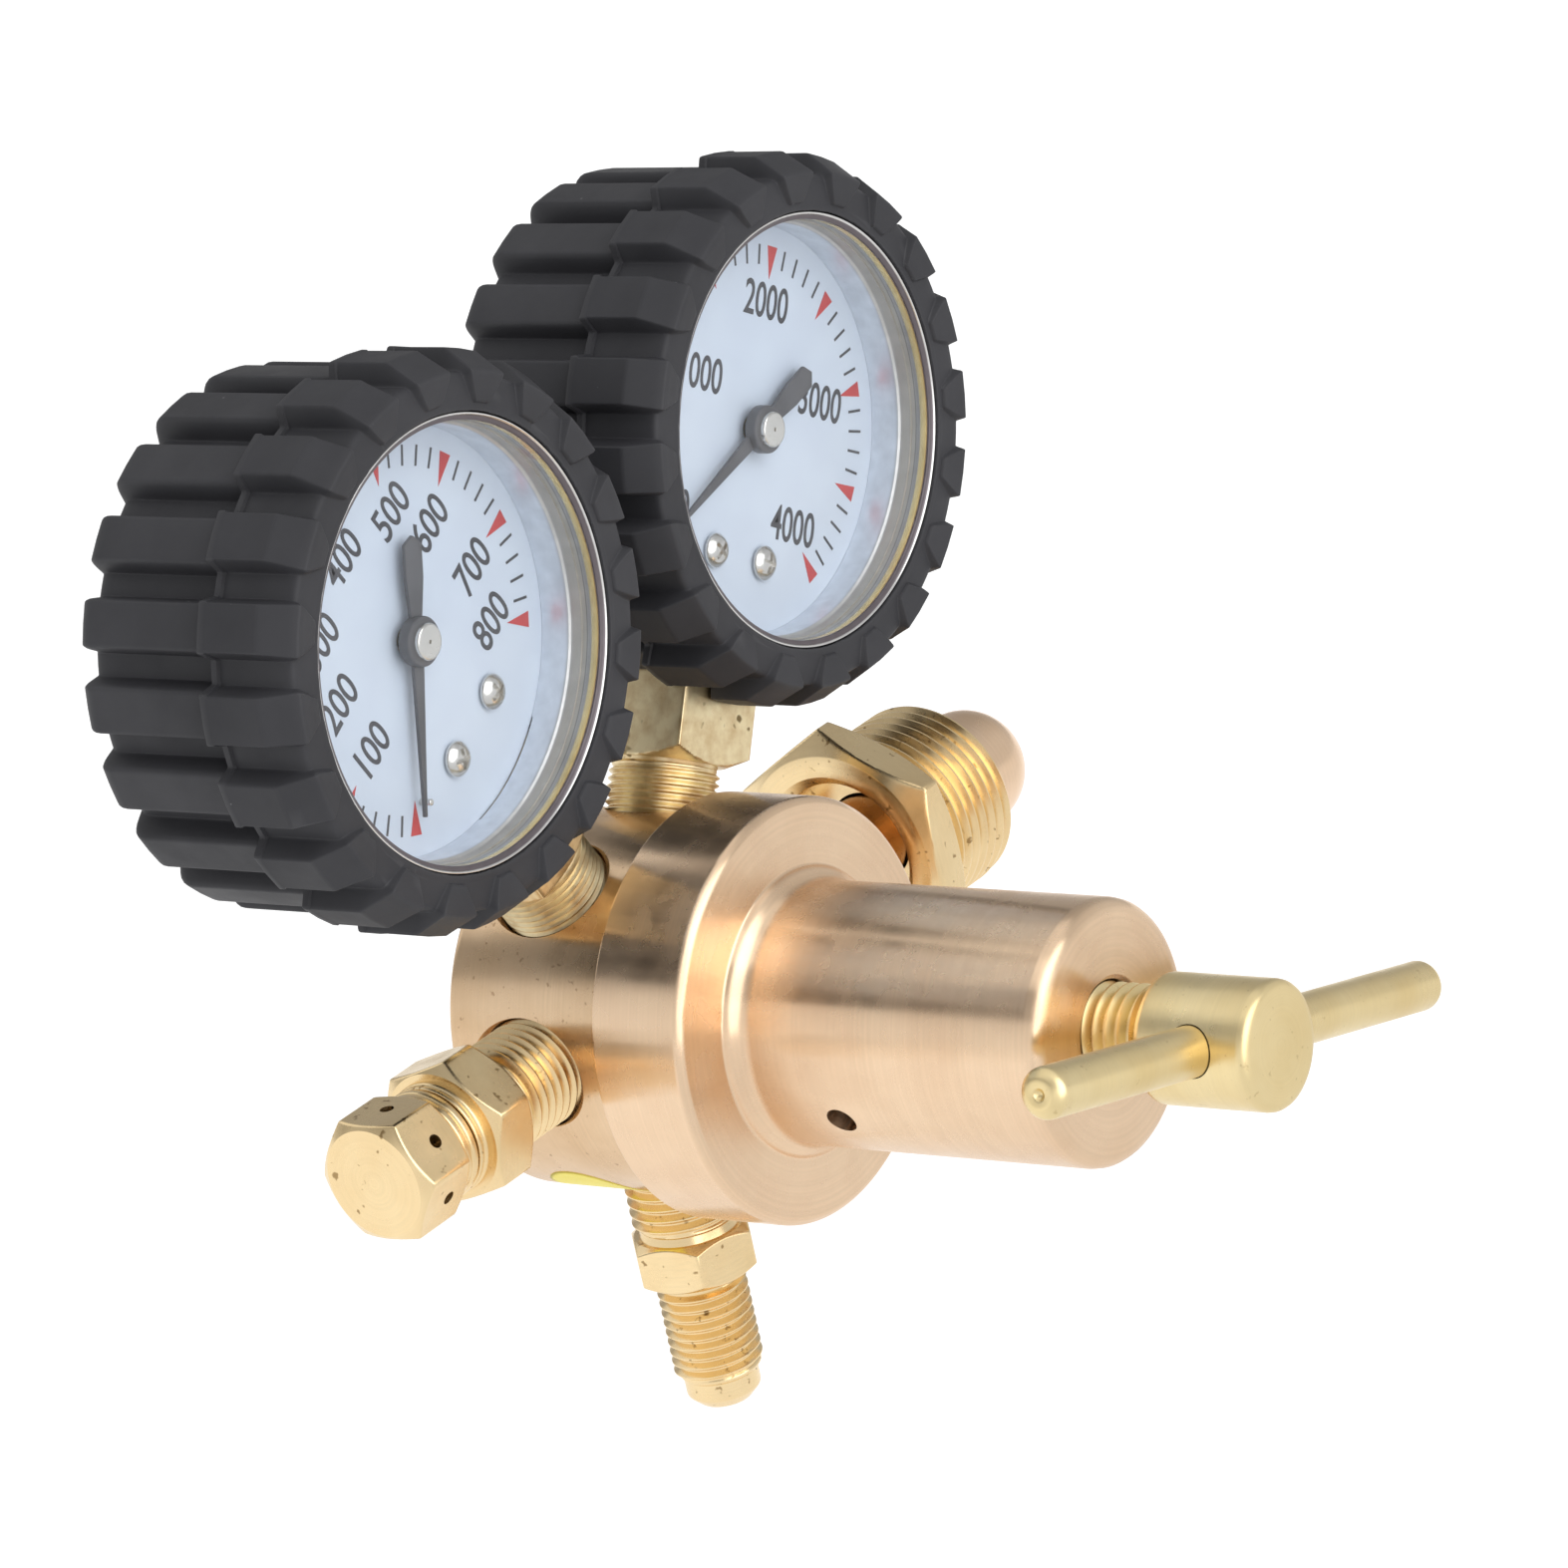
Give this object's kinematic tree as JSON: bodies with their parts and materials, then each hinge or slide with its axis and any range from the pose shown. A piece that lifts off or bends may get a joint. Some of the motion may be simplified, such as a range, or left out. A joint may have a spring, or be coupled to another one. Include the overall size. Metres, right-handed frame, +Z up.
{
  "type": "gas cylinder regulator",
  "caption": "Brass gas cylinder regulator with T-bar screw, relief valve, inlet nut, flare outlet and booted dial gauges.",
  "frame": {"origin": "tip of the inlet nipple, on the inlet's axis", "axes": "+X out of the inlet towards the cylinder valve, +Z up between the two gauges, -Y along the bonnet towards the T-bar"},
  "size_m": [0.1465, 0.106, 0.1458],
  "materials": {
    "rose_brass": "satin turned",
    "brass": "machined",
    "steel": "machined",
    "spring_steel": "drawn wire",
    "seat_nylon": "matt",
    "diaphragm_rubber": "matt",
    "sintered_bronze": "porous",
    "boot_rubber": "matt",
    "case_steel": "plated",
    "dial_paint": "satin",
    "pointer_paint": "satin",
    "crystal": "clear",
    "screw_nickel": "plated"
  },
  "bodies": {
    "regulator_body": {"body": "rose_brass", "bonnet": "rose_brass", "range_spring": "spring_steel", "diaphragm": "diaphragm_rubber", "slip_ring": "seat_nylon", "valve_seat": "brass", "poppet_spring": "spring_steel", "inlet_nipple": "rose_brass", "inlet_filter": "sintered_bronze", "relief_body": "brass", "relief_cap": "brass", "relief_spring": "spring_steel", "outlet_fitting": "brass", "high_boot": "boot_rubber", "high_case": "case_steel", "high_stem": "brass", "high_bourdon": "brass", "high_movement": "brass", "high_dial": "dial_paint", "high_dial_screw_1": "screw_nickel", "high_dial_screw_2": "screw_nickel", "high_crystal": "crystal", "low_boot": "boot_rubber", "low_case": "case_steel", "low_stem": "brass", "low_bourdon": "brass", "low_movement": "brass", "low_dial": "dial_paint", "low_dial_screw_1": "screw_nickel", "low_dial_screw_2": "screw_nickel", "low_crystal": "crystal"},
    "spring_button": {"spring_button": "steel"},
    "adjusting_screw": {"adjusting_screw": "brass", "t_bar": "brass"},
    "valve_train": {"diaphragm_plate": "steel", "valve_pin": "steel", "poppet": "seat_nylon"},
    "inlet_nut": {"inlet_nut": "brass"},
    "relief_poppet": {"relief_poppet": "seat_nylon"},
    "high_pointer": {"high_pointer": "pointer_paint", "high_pinion": "brass"},
    "high_sector": {"high_sector": "brass"},
    "high_link": {"high_link": "brass"},
    "low_pointer": {"low_pointer": "pointer_paint", "low_pinion": "brass"},
    "low_sector": {"low_sector": "brass"},
    "low_link": {"low_link": "brass"}
  },
  "joints": [
    {"name": "screw_turn", "type": "hinge", "parent": "spring_button", "child": "adjusting_screw", "pos_m": [-0.0788, -0.0833, 0], "axis": [0, 1, 0], "range_deg": [0, 1620]},
    {"name": "button_slide", "type": "slide", "parent": "regulator_body", "child": "spring_button", "axis": [0, 1, 0], "range_m": [0, 0.0068], "deforming": ["range_spring"]},
    {"name": "valve_lift", "type": "slide", "parent": "regulator_body", "child": "valve_train", "axis": [0, 1, 0], "range_m": [0, 0.0008], "deforming": ["diaphragm", "poppet_spring"]},
    {"name": "relief_lift", "type": "slide", "parent": "regulator_body", "child": "relief_poppet", "axis": [-1, 0, 0], "range_m": [0, 0.0015], "stiffness_N_per_m": 60, "springref_m": -0.002, "deforming": ["relief_spring"]},
    {"name": "nut_spin", "type": "hinge", "parent": "regulator_body", "child": "inlet_nut", "pos_m": [-0.0246, 0, 0], "axis": [1, 0, 0], "continuous": true},
    {"name": "high_pointer_turn", "type": "hinge", "parent": "regulator_body", "child": "high_pointer", "pos_m": [-0.0443, -0.00835, 0.05976], "axis": [0, 1, 0], "range_deg": [0, 270], "stiffness_Nm_per_rad": 0.00002},
    {"name": "high_sector_turn", "type": "hinge", "parent": "regulator_body", "child": "high_sector", "pos_m": [-0.0491, -0.00255, 0.05144], "axis": [0, 1, 0], "range_deg": [-54.5, 0]},
    {"name": "high_link_turn", "type": "hinge", "parent": "high_sector", "child": "high_link", "pos_m": [-0.0439, -0.00395, 0.04676], "axis": [0, 1, 0], "range_deg": [0, 83]},
    {"name": "low_pointer_turn", "type": "hinge", "parent": "regulator_body", "child": "low_pointer", "pos_m": [-0.1133, -0.00835, 0.05976], "axis": [0, 1, 0], "range_deg": [0, 270], "stiffness_Nm_per_rad": 0.00002},
    {"name": "low_sector_turn", "type": "hinge", "parent": "regulator_body", "child": "low_sector", "pos_m": [-0.1085, -0.00255, 0.05144], "axis": [0, 1, 0], "range_deg": [-54.5, 0]},
    {"name": "low_link_turn", "type": "hinge", "parent": "low_sector", "child": "low_link", "pos_m": [-0.10184, -0.00395, 0.0536], "axis": [0, 1, 0], "range_deg": [0, 83]}
  ],
  "couplings": [
    {"joint": "button_slide", "follows": "screw_turn", "m_per_rad": 0.00023873},
    {"joint": "valve_lift", "follows": "screw_turn", "m_per_rad": 0.000027941},
    {"joint": "high_sector_turn", "follows": "high_pointer_turn", "ratio": -0.2},
    {"joint": "high_link_turn", "follows": "high_pointer_turn", "ratio": 0.3063},
    {"joint": "low_sector_turn", "follows": "low_pointer_turn", "ratio": -0.2},
    {"joint": "low_link_turn", "follows": "low_pointer_turn", "ratio": 0.3063}
  ]
}
